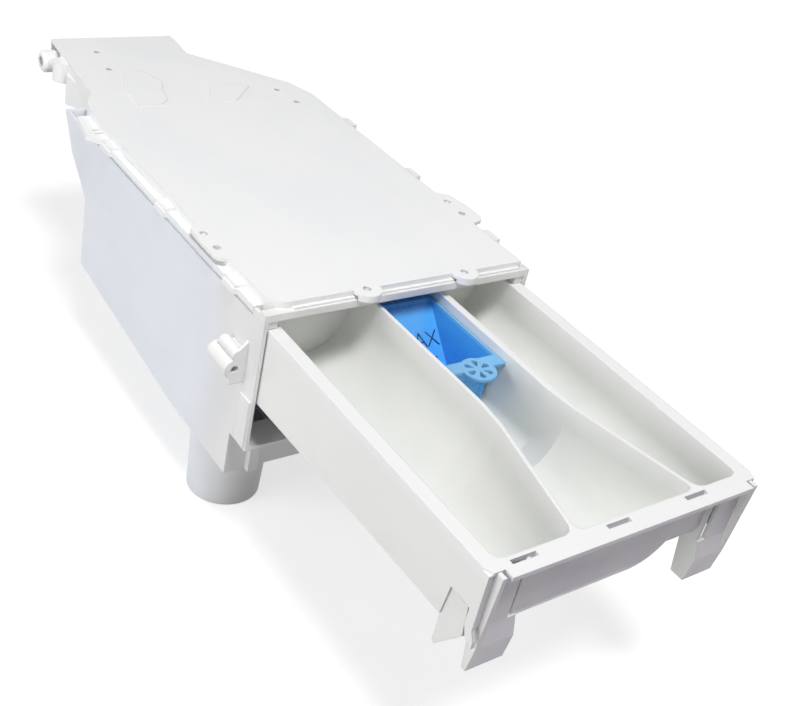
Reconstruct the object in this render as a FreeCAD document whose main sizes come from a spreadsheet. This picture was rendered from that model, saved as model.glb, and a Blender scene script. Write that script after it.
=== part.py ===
"""Detergent dispenser of a washing machine: housing, top cover, shower tray, drawer and softener cup.

X runs to the right, Y towards the back and Z up, in millimetres.  The sketches count Y from the plane
of the housing's front edge and Z from the drawer's rim.  The written solids are moved so that the origin
lies midway between the two screw bosses, in the plane of their faces.  The drawer stands as it is shown,
pulled out towards -Y.
"""
import FreeCAD, Part
import os
import re
import Sketcher
from FreeCAD import Vector

SIZES = (
    ("rim_half", 90.0, "drawer: half the width over the rim"),
    ("rim_band", 8.6, "drawer: width of the rim's flat band"),
    ("rim_thick", 2.6, "drawer: thickness of rim and rail"),
    ("reach", 202.0, "drawer: how far the rail stands ahead of the housing"),
    ("tail", 32.0, "drawer: how far it still reaches into the housing"),
    ("rail_in", 9.0, "drawer: ends of the front rail inside the rim's sides"),
    ("rail_depth", 11.8, "drawer: depth of the front rail"),
    ("rail_step", 5.6, "drawer: how far the rail stands ahead of the side rims"),
    ("wall", 2.2, "drawer: thickness of its outer walls"),
    ("floor", 2.4, "drawer: thickness of its floor"),
    ("divider", 2.4, "drawer: thickness of the two dividers"),
    ("divider_left", -14.4, "drawer: left divider's place at the back"),
    ("divider_right", 31.0, "drawer: right divider's place at the back"),
    ("lean_left", 19.4, "drawer: how far the left divider runs outwards to the front"),
    ("lean_right", 19.0, "drawer: how far the right divider runs outwards to the front"),
    ("divider_extra", 2.4, "drawer: how much thicker the right divider is behind its bend"),
    ("bend", 103.0, "drawer: where the dividers bend, ahead of the housing"),
    ("bend_run", 9.0, "drawer: half the length of that bend"),
    ("tub_depth", 44.0, "drawer: inner depth of the wash and softener tubs"),
    ("shallow_depth", 33.0, "drawer: inner depth of the prewash tub"),
    ("corner", 10.0, "drawer: small radius at the foot of a tub"),
    ("scoop", 30.0, "drawer: large radius at the foot of a tub"),
    ("scoop_small", 16.0, "drawer: right radius of the prewash tub"),
    ("end_round", 5.0, "drawer: radius at the front end inside a tub"),
    ("skirt_depth", 48.5, "drawer: depth of the side skirts"),
    ("skirt_rise", 4.5, "drawer: how far a skirt's lower edge rises to the front"),
    ("gap_back", 25.0, "drawer: back of the gap in a skirt behind the rail's front edge"),
    ("gap_top", 25.0, "drawer: top of that gap below the rim"),
    ("tongue_wide", 5.4, "drawer: width of the tongue ahead of that gap"),
    ("tongue_knee", 35.0, "drawer: where the tongue kinks forward, below the rim"),
    ("tongue_drop", 44.0, "drawer: foot of the tongue below the rim"),
    ("slot_long", 15.4, "drawer: length of a slot in the rail"),
    ("slot_wide", 2.6, "drawer: width of a slot in the rail"),
    ("slot_back", 8.2, "drawer: slots behind the rail's front edge"),
    ("slot_in", 13.0, "drawer: left slot inside the rail's end"),
    ("slot_mid", -8.6, "drawer: place of the middle slot"),
    ("slot_right", 45.6, "drawer: place of the right slot"),
    ("leg_inset", 4.5, "drawer: outer side of a front leg inside the rim's side"),
    ("leg_wide", 22.8, "drawer: width of a front leg's foot"),
    ("leg_step", 5.3, "drawer: how much narrower a leg is above its foot"),
    ("leg_thick", 2.4, "drawer: thickness of a front leg"),
    ("leg_back", 6.4, "drawer: leg behind the rail's front edge"),
    ("leg_drop", 63.5, "drawer: how far a leg hangs below the rim"),
    ("foot_top", 36.5, "drawer: where the leg's foot starts to kick forward"),
    ("foot_drop", 47.5, "drawer: where the foot stands furthest forward"),
    ("foot_kick", 2.6, "drawer: how far the foot kicks forward"),
    ("web_lead", 5.2, "drawer: how far a leg's outer web stands ahead of its plate"),
    ("leg_web", 8.0, "drawer: depth of a leg's side webs behind its plate"),
    ("barb_back", 28.0, "drawer: stop barb's back edge behind the rail's front"),
    ("barb_drop", 63.5, "drawer: tip of the stop barb below the rim"),
    ("barb_long", 17.0, "drawer: length of the stop barb"),
    ("side_gap", 0.9, "gap between the drawer's rim and the housing's walls"),
    ("shell", 2.2, "housing: wall thickness"),
    ("wall_top", 2.8, "housing: top of the side walls above the rim"),
    ("sill", 80.0, "housing: sill of the opening below the rim"),
    ("sump_front", 18.5, "housing: sump's front wall behind the front edge"),
    ("sump_drop", 112.5, "housing: lowest floor below the rim"),
    ("sump_flat", 88.0, "housing: end of the lowest floor"),
    ("heel_drop", 96.0, "housing: floor at the back below the rim"),
    ("heel_back", 242.0, "housing: back of the floor"),
    ("hood_drop", 44.5, "housing: where the back wall starts to sweep up"),
    ("hood_mid", 267.0, "housing: middle of the sweep"),
    ("hood_back", 281.5, "housing: top of the sweep"),
    ("hood_round", 26.0, "housing: radius of the sweep's bends"),
    ("corner_cut", 30.0, "housing: diagonal corner at the back right"),
    ("bar_low", 5.4, "housing: underside of the bar over the opening"),
    ("bar_top", 10.0, "housing: top of that bar"),
    ("bar_deep", 6.5, "housing: depth of that bar"),
    ("ledge_wide", 3.4, "housing: width of the ledge that carries the cover"),
    ("ledge_low", 0.8, "housing: underside of that ledge above the rim"),
    ("ledge_top", 4.8, "housing: top of that ledge"),
    ("runner_thick", 3.0, "housing: thickness of the drawer's runner"),
    ("runner_front", 6.5, "housing: runner's start behind the front edge"),
    ("run_gap", 0.3, "running gap between drawer and runner"),
    ("spout_in", 27.1, "housing: outlet's axis inside the left wall's outer face"),
    ("spout_y", 60.0, "housing: outlet's place behind the front edge"),
    ("spout_r", 23.5, "housing: outer radius of the outlet"),
    ("spout_wall", 2.4, "housing: wall of the outlet"),
    ("spout_drop", 160.0, "housing: end of the outlet below the rim"),
    ("spout_taper", 1.5, "housing: growth of the outlet's radius to its root"),
    ("boss_out", 7.0, "housing: screw boss, axis outside the wall"),
    ("boss_drop", 31.0, "housing: screw boss below the rim"),
    ("boss_r", 6.2, "housing: screw boss radius"),
    ("boss_bore", 2.2, "housing: radius of the screw hole"),
    ("rib_up", 8.5, "housing: round rib above the boss"),
    ("rib_r", 3.6, "housing: radius of that rib"),
    ("rib_long", 18.0, "housing: length of that rib"),
    ("face_up", 17.0, "housing: top of the plate beside the boss, above its axis"),
    ("face_low", 10.0, "housing: foot of that plate below the boss's axis"),
    ("heel_rib_in", 13.6, "housing: upright rib on the sump's front, inside the left wall's outer face"),
    ("heel_rib_wide", 7.0, "housing: width of that rib"),
    ("heel_rib_out", 4.5, "housing: how far that rib stands out"),
    ("strip_low", 80.0, "housing: foot of the strip at the front edge"),
    ("strip_high", 48.0, "housing: top of that strip below the rim"),
    ("strip_wide", 11.5, "housing: width of that strip"),
    ("strip_out", 1.2, "housing: how far that strip stands out"),
    ("boss_front", 12.0, "housing: boss's face behind the front edge"),
    ("boss_long", 22.0, "housing: length of the boss"),
    ("bore_deep", 18.0, "housing: depth of the screw hole"),
    ("stud_r", 1.4, "housing: radius of the studs that hold the cover"),
    ("stud_top", 13.6, "housing: top of the studs"),
    ("ear_in", 2.2, "cover: side ear holes inside the housing's wall"),
    ("ear_y", 83.0, "cover: back ear hole behind the front edge"),
    ("ear_pitch", 16.6, "cover: pitch of the two ear holes"),
    ("ear_hole", 2.4, "cover: radius of the ear holes"),
    ("ear_r", 7.0, "cover: an ear's end beyond its hole"),
    ("ear_out", 1.6, "cover: how far the left ear stands out over the wall"),
    ("ear_out_right", 5.6, "cover: how far the right ear stands out over the wall"),
    ("lobe_left", -27.0, "cover: left front ear"),
    ("lobe_right", 43.0, "cover: right front ear"),
    ("lobe_r", 8.8, "cover: radius of a front ear"),
    ("lobe_y", 3.4, "cover: centre of a front ear behind the front edge"),
    ("plate", 2.4, "cover: thickness of its top"),
    ("cover_top", 14.4, "cover: height of its top above the rim"),
    ("cover_wall", 2.0, "cover: wall under its edge"),
    ("flange_wide", 5.1, "cover: width of the side flanges over the housing's walls"),
    ("cover_front", 3.6, "cover: front of the raised top"),
    ("cover_round", 13.0, "cover: radius of the left front corner"),
    ("cover_hip", 245.0, "cover: where the left side turns in"),
    ("hip_in", 2.6, "cover: left hip inside the raised top's side"),
    ("hip_y", 264.0, "cover: left hip along"),
    ("cover_hip_right", 258.0, "cover: where the right side turns in"),
    ("shoulder_in", 8.0, "cover: right shoulder inside the raised top's side"),
    ("shoulder_y", 280.0, "cover: right shoulder, place along"),
    ("notch_x", 25.5, "cover: inner end of the diagonal, across"),
    ("notch_y", 342.0, "cover: inner end of the diagonal, along"),
    ("tail_right", 28.0, "cover: right side of the tail"),
    ("tail_inset", 20.4, "cover: left side of the tail's end inside the raised top's side"),
    ("waist_in", 11.7, "cover: left side of the tail's root inside the raised top's side"),
    ("tail_back", 377.0, "cover: end of the tail"),
    ("flange_thick", 3.6, "cover: thickness of the side flanges"),
    ("clip_front", 39.0, "cover: front clip behind the front edge"),
    ("clip_mid", 128.0, "cover: middle clip behind the front edge"),
    ("clip_back", 210.0, "cover: back clip behind the front edge"),
    ("clip_wide", 20.0, "cover: width of a clip's lug"),
    ("clip_out", 2.4, "cover: how far a lug stands out over the wall"),
    ("hook_high", 13.0, "cover: top of the right hooks above the rim"),
    ("hook_low", 10.2, "cover: top of the left hooks above the rim"),
    ("hook_long", 13.0, "cover: length of a hook"),
    ("hook_out", 6.4, "cover: how far a hook stands out from the raised top"),
    ("slit_long", 5.0, "cover: length of the slits in a lug"),
    ("slit_wide", 1.6, "cover: width of those slits"),
    ("bead_front", 139.0, "cover: start of the round bead along the edge"),
    ("bead_back", 196.0, "cover: end of that bead"),
    ("bead_high", 4.4, "cover: height of that bead"),
    ("bead_wide", 6.4, "cover: width of that bead"),
    ("latch_front", 222.0, "cover: start of the latch plate"),
    ("latch_back", 257.0, "cover: end of the latch plate"),
    ("latch_out", 7.0, "cover: how far the latch plate stands out over the wall"),
    ("pin_r", 2.2, "cover: radius of the pin holes in its back part"),
    ("pin_in", 24.6, "cover: rear left pin hole inside the tail's left side"),
    ("pin_back", 27.0, "cover: rear left pin hole ahead of the tail's end"),
    ("pin_in_right", 16.0, "cover: rear right pin hole inside the shoulder"),
    ("pin_ahead", 12.0, "cover: rear right pin hole ahead of the shoulder"),
    ("pin_pitch", 32.0, "cover: pitch of a pair of pin holes along"),
    ("pin_shift", 4.0, "cover: shift of a pair of pin holes across"),
    ("panel_high", 0.6, "cover: height of the two low panels on its back part"),
    ("panel_in", 23.4, "cover: left panel inside the tail's root"),
    ("panel_front", 9.5, "cover: left panel behind the hip"),
    ("panel_wide", 18.0, "cover: length of the left panel's front edge"),
    ("panel_long", 61.0, "cover: length of the left panel"),
    ("panel_lean", 14.0, "cover: how far the left panel's end lies to the right"),
    ("patch_in", 25.0, "cover: right panel's left corner inside the notch"),
    ("patch_front", 8.4, "cover: right panel behind the hip"),
    ("patch_wide", 22.0, "cover: length of the right panel's front edge"),
    ("patch_long", 34.0, "cover: length of the right panel"),
    ("tray_low", 1.6, "tray: underside above the rim"),
    ("tray_wall", 1.6, "tray: thickness"),
    ("tray_gap", 0.6, "tray: gap inside the cover's wall"),
    ("tray_front", 9.0, "tray: front behind the front edge"),
    ("tray_back", 232.0, "tray: back behind the front edge"),
    ("jet_r", 1.8, "tray: radius over the corners of a six-sided jet"),
    ("jet_pitch_x", 26.0, "tray: pitch of the jets across"),
    ("jet_pitch_y", 30.0, "tray: pitch of the jets along"),
    ("jet_first", 40.0, "tray: first row of jets behind the front edge"),
    ("cup_gap", 0.4, "softener cup: gap to the dividers"),
    ("cup_top", 5.6, "softener cup: rim below the drawer's rim"),
    ("cup_lift", 2.6, "softener cup: its foot above the tub's floor"),
    ("cup_rim", 1.8, "softener cup: thickness of the rim"),
    ("cup_wall", 1.5, "softener cup: wall thickness"),
    ("cup_front", 52.0, "softener cup: its mouth's front, ahead of the housing"),
    ("cup_back", 12.4, "softener cup: its mouth's back, behind the front edge"),
    ("cup_lip", 1.6, "softener cup: width of the rim at the sides and back"),
    ("cup_flange", 9.0, "softener cup: depth of the front flange"),
    ("cup_draft", 5.5, "softener cup: lean of its sides in degrees"),
    ("ramp_foot", 28.5, "softener cup: foot of the ramp, ahead of the housing"),
    ("tab_r", 10.6, "softener cup: radius of the finger tab"),
    ("tab_x", 10.2, "softener cup: place of the finger tab across"),
    ("petal_ring", 5.3, "softener cup: petals from the tab's centre"),
    ("petal_long", 5.8, "softener cup: length of a petal"),
    ("petal_wide", 3.8, "softener cup: width of a petal"),
    ("inlet_r", 8.1, "cover: radius of the water inlet"),
    ("inlet_bore", 3.6, "cover: bore of the water inlet"),
    ("inlet_long", 21.0, "cover: length of the water inlet"),
    ("inlet_up", 2.0, "cover: water inlet's axis above the rim"),
    ("inlet_round", 3.0, "cover: rounding of the inlet's end"),
    ("channel_in", 9.6, "cover: side of the water channel inside the tail's side"),
    ("flap_front", 285.0, "cover: front of the flap under the tail"),
    ("flap_back", 330.0, "cover: back of that flap"),
    ("flap_drop", 16.0, "cover: foot of that flap below the rim"),
    ("flap_rise", 12.0, "cover: how much less the flap hangs at its front"),
    ("knuckle_y", 341.0, "cover: place of the knuckle under the tail"),
    ("knuckle_r", 7.4, "cover: radius of that knuckle"),
    ("knuckle_low", 2.0, "cover: foot of the knuckle below the rim"),
    ("collar_long", 3.0, "cover: length of the collar at its root"),
    ("collar_wide", 2.4, "cover: how far that collar stands out"),
    ("inlet_back", 11.0, "cover: inlet ahead of the tail's end"),
    ("tail_deep", 16.0, "cover: depth of the tail's walls"),
)

# Places that follow from the sizes above.
FOLLOWERS = (
    ("rail_half", "rim_half - rail_in", "drawer: half the length of the front rail"),
    ("slot_left", "-(rim_half - rail_in) + slot_in", "drawer: place of the left slot"),
    ("leg_out", "rim_half - leg_inset", "drawer: outer side of a front leg"),
    ("leg_in", "rim_half - leg_inset - leg_wide", "drawer: inner side of a front leg"),
    ("spout_x", "-(rim_half + side_gap + shell) + spout_in", "housing: outlet's place across"),
    ("ear_x", "rim_half + side_gap - ear_in", "cover: side ear holes from the middle"),
    ("cover_half", "rim_half + side_gap + shell - flange_wide", "cover: half width of the raised top"),
    ("hip_x", "-cover_half + hip_in", "cover: left hip across"),
    ("shoulder_x", "cover_half - shoulder_in", "cover: right shoulder across"),
    ("tail_left", "-cover_half + tail_inset", "cover: left side of the tail at its end"),
    ("tail_waist", "-cover_half + waist_in", "cover: left side of the tail at its root"),
    ("tail_in", "-cover_half + tail_inset + channel_in",
     "cover: left side of the water channel under the tail"),
)

doc = FreeCAD.newDocument("detergent_dispenser")
sheet = doc.addObject("Spreadsheet::Sheet", "sizes")
for row, (alias, value, meaning) in enumerate(SIZES + FOLLOWERS, start=1):
    sheet.set(f"A{row}", meaning)
    sheet.set(f"B{row}", f"={value}")
    sheet.setAlias(f"B{row}", alias)
doc.recompute()

NAMES = {alias for alias, value, meaning in SIZES + FOLLOWERS}


def cells(text):
    """The expression with each size's name led back to the sheet."""
    return re.sub(r"[a-z_]+", lambda word: "sizes." + word[0] if word[0] in NAMES else word[0], text)


def size(text):
    """The expression's value in millimetres."""
    return float(sheet.evalExpression(cells(text)))


def bind(thing, prop, text):
    thing.setExpression(prop, cells(text))


def new_body(label):
    body = doc.addObject("PartDesign::Body", label)
    body.Label = label
    return body


def plane_of(body, role):
    return next(plane for plane in body.Origin.OriginFeatures if plane.Role == role)


def new_sketch(body, name, role, level="0"):
    """A sketch on one of the body's own origin planes, lifted along its normal."""
    sketch = body.newObject("Sketcher::SketchObject", name)
    sketch.AttachmentSupport = [(plane_of(body, role), "")]
    sketch.MapMode = "FlatFace"
    bind(sketch, "AttachmentOffset.Base.z", level)
    return sketch


def fix_point(sketch, geometry, end, x_text, y_text):
    """Ties one point of the sketch to the two expressions."""
    for kind, text in (("DistanceX", x_text), ("DistanceY", y_text)):
        number = sketch.addConstraint(Sketcher.Constraint(kind, -1, 1, geometry, end, size(text)))
        bind(sketch, f"Constraints[{number}]", text)


def add_outline(sketch, corners):
    """A closed polygon through the corners, each given as a pair of expressions."""
    places = [Vector(size(x), size(y), 0) for x, y in corners]
    first = sketch.GeometryCount
    count = len(corners)
    for index in range(count):
        sketch.addGeometry(Part.LineSegment(places[index], places[(index + 1) % count]))
    for index, (x_text, y_text) in enumerate(corners):
        after = first + (index + 1) % count
        sketch.addConstraint(Sketcher.Constraint("Coincident", first + index, 2, after, 1))
        fix_point(sketch, first + index, 1, x_text, y_text)


def add_rectangle(sketch, left, right, low, high):
    add_outline(sketch, ((left, low), (right, low), (right, high), (left, high)))


def add_circle(sketch, x_text, y_text, radius):
    centre = Vector(size(x_text), size(y_text), 0)
    index = sketch.addGeometry(Part.Circle(centre, Vector(0, 0, 1), size(radius)))
    fix_point(sketch, index, 3, x_text, y_text)
    number = sketch.addConstraint(Sketcher.Constraint("Radius", index, size(radius)))
    bind(sketch, f"Constraints[{number}]", radius)


def add_trough(sketch, left, right, depth, left_round, right_round):
    """A tub's section, open at the rim: two upright sides, a flat floor and a round at each foot."""
    west, east, low = size(left), size(right), -size(depth)
    r_west, r_east = size(left_round), size(right_round)
    half_turn, quarter = 3.141592653589793, 1.5707963267948966
    up = Vector(0, 0, 1)
    arc_west = Part.Circle(Vector(west + r_west, low + r_west, 0), up, r_west)
    arc_east = Part.Circle(Vector(east - r_east, low + r_east, 0), up, r_east)
    sketch.addGeometry(Part.LineSegment(Vector(west, 0, 0), Vector(west, low + r_west, 0)))
    sketch.addGeometry(Part.ArcOfCircle(arc_west, half_turn, half_turn + quarter))
    sketch.addGeometry(Part.LineSegment(Vector(west + r_west, low, 0), Vector(east - r_east, low, 0)))
    sketch.addGeometry(Part.ArcOfCircle(arc_east, half_turn + quarter, 2 * half_turn))
    sketch.addGeometry(Part.LineSegment(Vector(east, low + r_east, 0), Vector(east, 0, 0)))
    sketch.addGeometry(Part.LineSegment(Vector(east, 0, 0), Vector(west, 0, 0)))
    side_west, turn_west, base, turn_east, side_east, lid = range(6)
    for one, end, other, start in ((side_west, 2, turn_west, 1), (turn_west, 2, base, 1),
                                   (base, 2, turn_east, 1), (turn_east, 2, side_east, 1)):
        sketch.addConstraint(Sketcher.Constraint("Tangent", one, end, other, start))
    sketch.addConstraint(Sketcher.Constraint("Coincident", side_east, 2, lid, 1))
    sketch.addConstraint(Sketcher.Constraint("Coincident", lid, 2, side_west, 1))
    sketch.addConstraint(Sketcher.Constraint("Vertical", side_west))
    sketch.addConstraint(Sketcher.Constraint("Vertical", side_east))
    sketch.addConstraint(Sketcher.Constraint("Horizontal", base))
    fix_point(sketch, side_west, 1, left, "0")
    fix_point(sketch, side_east, 2, right, "0")
    number = sketch.addConstraint(Sketcher.Constraint("DistanceY", -1, 1, base, 1, low))
    bind(sketch, f"Constraints[{number}]", f"-({depth})")
    for turn, radius in ((turn_west, left_round), (turn_east, right_round)):
        number = sketch.addConstraint(Sketcher.Constraint("Radius", turn, size(radius)))
        bind(sketch, f"Constraints[{number}]", radius)


def extrude(body, kind, name, sketch, length, backwards=False, symmetric=False):
    """A pad or pocket of the sketch."""
    feature = body.newObject("PartDesign::" + kind, name)
    feature.Profile = sketch
    if symmetric:
        feature.SideType = "Symmetric"
    feature.Reversed = backwards
    bind(feature, "Length", length)
    doc.recompute()
    return feature


def loft(body, kind, name, sections):
    feature = body.newObject("PartDesign::" + kind, name)
    feature.Profile = sections[0]
    feature.Sections = list(sections[1:])
    feature.Ruled = True
    doc.recompute()
    return feature


def mirror(body, name, originals):
    """The features once more on the other side of the YZ plane."""
    feature = body.newObject("PartDesign::Mirrored", name)
    feature.Originals = originals
    feature.MirrorPlane = (plane_of(body, "YZ_Plane"), [""])
    body.Tip = feature
    doc.recompute()
    return feature


def round_edges(body, name, radius, wanted):
    """Rounds each edge of the body that the test picks."""
    base = body.Tip
    edges = [f"Edge{number}" for number, edge in enumerate(base.Shape.Edges, start=1) if wanted(edge)]
    feature = body.newObject("PartDesign::Fillet", name)
    feature.Base = (base, edges)
    bind(feature, "Radius", radius)
    doc.recompute()
    return feature


def hollow(body, name, thickness, open_face):
    """Turns the body into a shell that is open at the faces the test picks."""
    base = body.Tip
    faces = [f"Face{number}" for number, face in enumerate(base.Shape.Faces, start=1) if open_face(face)]
    if not faces:
        raise RuntimeError(f"{name}: no face to open")
    feature = body.newObject("PartDesign::Thickness", name)
    feature.Base = (base, faces)
    feature.Join = "Intersection"
    feature.Reversed = True
    bind(feature, "Value", thickness)
    doc.recompute()
    return feature


def lies_at(shape, axis, text, slack=0.01):
    """Whether all corners of the shape lie in the plane where that axis has the expression's value."""
    place, index = size(text), "XYZ".index(axis)
    return all(abs(corner.Point[index] - place) < slack for corner in shape.Vertexes)


# Drawer
INNER_LEFT, INNER_RIGHT = "-(rim_half - rim_band)", "(rim_half - rim_band)"
FRONT_IN = "(rail_depth - reach)"
RAIL_FRONT = "(-reach)"
RIM_FRONT = "(rail_step - reach)"
LEAN_RUN = "(reach - rail_depth - bend)"


def left_divider(place, bent):
    """The left divider's middle at that place along the drawer, behind or ahead of its bend."""
    return f"(divider_left - lean_left * (-{place} - bend) / {LEAN_RUN})" if bent else "divider_left"


def right_divider(place, bent):
    return f"(divider_right + lean_right * (-{place} - bend) / {LEAN_RUN})" if bent else "divider_right"


# Each tub's hollow, and below them the outside of the two deep tubs and of the shallow one: the two sides,
# the depth, the round at the left foot, and the round at the right foot behind and ahead of the bend.
TUBS = {
    "wash": (lambda place, bent: INNER_LEFT,
             lambda place, bent: f"({left_divider(place, bent)} - divider / 2)",
             "tub_depth", "corner", "scoop", "scoop"),
    "softener": (lambda place, bent: f"({left_divider(place, bent)} + divider / 2)",
                 lambda place, bent: f"({right_divider(place, bent)} - divider / 2)",
                 "tub_depth", "corner", "corner", "scoop"),
    "prewash": (lambda place, bent: f"({right_divider(place, bent)} + divider / 2"
                                    f"{'' if bent else ' + divider_extra'})",
                lambda place, bent: INNER_RIGHT, "shallow_depth", "corner", "scoop_small", "scoop_small"),
}
BELLIES = {
    "deep": (lambda place, bent: f"({INNER_LEFT} - wall)",
             lambda place, bent: f"({right_divider(place, bent)} + divider / 2)",
             "(tub_depth + floor)", "(corner + wall)", "(corner + wall)", "(scoop + wall)"),
    "shallow": (lambda place, bent: "divider_left", lambda place, bent: f"({INNER_RIGHT} + wall)",
                "(shallow_depth + floor)", "corner", "(scoop_small + wall)", "(scoop_small + wall)"),
}
HALF_TURN_INSET = "0.293"


def make_tub(name, form, skin):
    """A body for one tub's hollow, or its outside: sections along the drawer, drawn in at the front end."""
    left, right, depth, left_round, right_back, right_front = form
    body = new_body(name + ("_belly" if skin else "_hollow"))
    back, front, turn = "(tail - wall)", FRONT_IN, "end_round"
    if skin:
        back, front, turn = "tail", f"({FRONT_IN} - wall)", "(end_round + wall)"
    stations = ((back, False, "0"), ("(bend_run - bend)", False, "0"), ("(-bend - bend_run)", True, "0"),
                (f"({front} + {turn})", True, "0"),
                (f"({front} + {HALF_TURN_INSET} * {turn})", True, f"{HALF_TURN_INSET} * {turn}"),
                (front, True, turn))
    sections = []
    for index, (place, bent, inset) in enumerate(stations):
        sketch = new_sketch(body, f"{name}_section_{index}", "XZ_Plane", f"-{place}")
        right_round = right_front if bent else right_back
        add_trough(sketch, f"{left(place, bent)} + {inset}", f"{right(place, bent)} - {inset}",
                   f"{depth} - {inset}", f"{left_round} - {inset}", f"{right_round} - {inset}")
        sections.append(sketch)
    loft(body, "AdditiveLoft", name + "_run", sections)
    return body


def combine(body, kind, name, tools):
    """Joins the tool bodies to the body, or cuts them out of it."""
    feature = body.newObject("PartDesign::Boolean", name)
    feature.Type = kind
    feature.setObjects(tools)
    body.Tip = feature
    doc.recompute()
    return feature


def make_drawer():
    bellies = [make_tub(name, form, True) for name, form in BELLIES.items()]
    hollows = [make_tub(name, form, False) for name, form in TUBS.items()]
    body = new_body("drawer")
    rim = new_sketch(body, "rim_outline", "XY_Plane", "-rim_thick")
    add_outline(rim, (("-rim_half", "tail"), ("-rim_half", f"{RIM_FRONT} + 2 * rim_thick"),
                      ("-rim_half + rim_thick", RIM_FRONT), ("-rail_half", RIM_FRONT),
                      ("-rail_half", RAIL_FRONT), ("rail_half", RAIL_FRONT),
                      ("rail_half", RIM_FRONT), ("rim_half - rim_thick", RIM_FRONT),
                      ("rim_half", f"{RIM_FRONT} + 2 * rim_thick"), ("rim_half", "tail")))
    extrude(body, "Pad", "rim", rim, "rim_thick")
    skirt = new_sketch(body, "skirt_outline", "YZ_Plane", "-rim_half")
    add_outline(skirt, ((RIM_FRONT + " + 0.7 * tongue_wide", "-rim_thick / 2"),
                        (RIM_FRONT + " + 0.7 * tongue_wide", "-gap_top"), ("gap_back - reach", "-gap_top"),
                        ("gap_back - reach + wall", "-skirt_depth + skirt_rise"),
                        ("0", "-skirt_depth"), ("tail", "-skirt_depth"), ("tail", "-rim_thick / 2")))
    sides = [extrude(body, "Pad", "skirt", skirt, "wall")]
    sides += make_leg(body)
    mirror(body, "other_side", sides)
    add_left_tongue(body)
    slots = new_sketch(body, "rail_slots", "XY_Plane")
    for place in ("slot_left", "slot_mid", "slot_right"):
        add_rectangle(slots, f"{place} - slot_long / 2", f"{place} + slot_long / 2",
                      "slot_back - slot_wide / 2 - reach", "slot_back + slot_wide / 2 - reach")
    extrude(body, "Pocket", "rail_slot_cuts", slots, "rim_thick")
    combine(body, "Fuse", "bellies", bellies)
    combine(body, "Cut", "hollows", hollows)
    return body


def add_left_tongue(body):
    """The left skirt's front tongue, the filler that ties it to the leg, and the barb in the gap."""
    tongue = new_sketch(body, "tongue_outline", "YZ_Plane", "-rim_half")
    back = f"{RIM_FRONT} + tongue_wide"
    add_outline(tongue, ((RIM_FRONT, "-rim_thick / 2"), (RIM_FRONT, "-tongue_knee"),
                         (f"{RIM_FRONT} - foot_kick", "-tongue_knee - 2 * foot_kick"),
                         (f"{RIM_FRONT} - foot_kick", "-tongue_drop"),
                         (f"{back} - foot_kick", "-tongue_drop + foot_kick"), (back, "-tongue_knee"),
                         (back, "-rim_thick / 2")))
    extrude(body, "Pad", "tongue", tongue, "wall")
    filler = new_sketch(body, "leg_filler_profile", "YZ_Plane", "-rim_half + wall / 2")
    add_rectangle(filler, f"{RIM_FRONT} + leg_thick / 4", f"{back} - leg_thick / 2", "-tongue_knee",
                  "-rim_thick / 2")
    extrude(body, "Pad", "leg_filler", filler, "leg_inset - wall / 2 + leg_thick / 2")
    barb = new_sketch(body, "barb_outline", "YZ_Plane", "-rim_half + wall / 2")
    add_outline(barb, (("barb_back - reach", "-gap_top + 3 * wall"), ("barb_back - reach", "-barb_drop"),
                       ("barb_back - reach - wall", "-barb_drop"),
                       ("barb_back - reach - barb_long", "-tongue_drop"),
                       ("barb_back - reach - barb_long + wall", "-gap_top + 3 * wall")))
    extrude(body, "Pad", "barb", barb, "wall")


def make_leg(body):
    """The left front leg: a plate, a wider foot that kicks forward and a web at each side."""
    front = "(leg_back - reach)"
    plate = new_sketch(body, "leg_profile", "YZ_Plane", "-leg_out")
    add_rectangle(plate, front, f"{front} + leg_thick", "-foot_top - leg_thick", "-rim_thick / 2")
    features = [extrude(body, "Pad", "leg", plate, "leg_wide - leg_step")]
    foot = new_sketch(body, "foot_profile", "YZ_Plane", "-leg_out")
    add_outline(foot, ((front, "-foot_top"), (f"{front} - foot_kick", "-foot_drop"),
                       (f"{front} - foot_kick / 4", "-leg_drop"), (f"{front} + leg_thick", "-leg_drop"),
                       (f"{front} + leg_thick - foot_kick / 2", "-foot_drop"),
                       (f"{front} + leg_thick", "-foot_top")))
    features.append(extrude(body, "Pad", "foot", foot, "leg_wide"))
    outer = new_sketch(body, "web_out_profile", "YZ_Plane", "-leg_out")
    add_outline(outer, ((f"{front} - web_lead", "-rim_thick / 4"), (f"{front} - web_lead / 2", "-foot_drop"),
                        (front, "-foot_drop - web_lead"), (front, "-leg_drop"),
                        (f"{front} + leg_thick", "-leg_drop"),
                        (f"{front} + leg_web / 2", "-foot_drop"), (f"{front} + leg_web", "-rim_thick / 4")))
    features.append(extrude(body, "Pad", "web_out", outer, "leg_thick"))
    inner = new_sketch(body, "web_in_profile", "YZ_Plane", "-leg_in - leg_thick")
    add_outline(inner, ((f"{front} + leg_thick / 2", "-rim_thick / 2"),
                        (f"{front} + leg_thick / 2", "-leg_drop"),
                        (f"{front} + leg_web", "-leg_drop"), (f"{front} + 1.5 * leg_web", "-foot_top"),
                        (f"{front} + 1.5 * leg_web", "-rim_thick / 2")))
    features.append(extrude(body, "Pad", "web_in", inner, "leg_thick"))
    return features


# Softener cup
CUP_LEFT = "(divider_left + divider / 2 + cup_gap)"
CUP_RIGHT = "(divider_right - divider / 2 - cup_gap)"
CUP_FOOT = "(tub_depth - cup_lift)"


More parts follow.
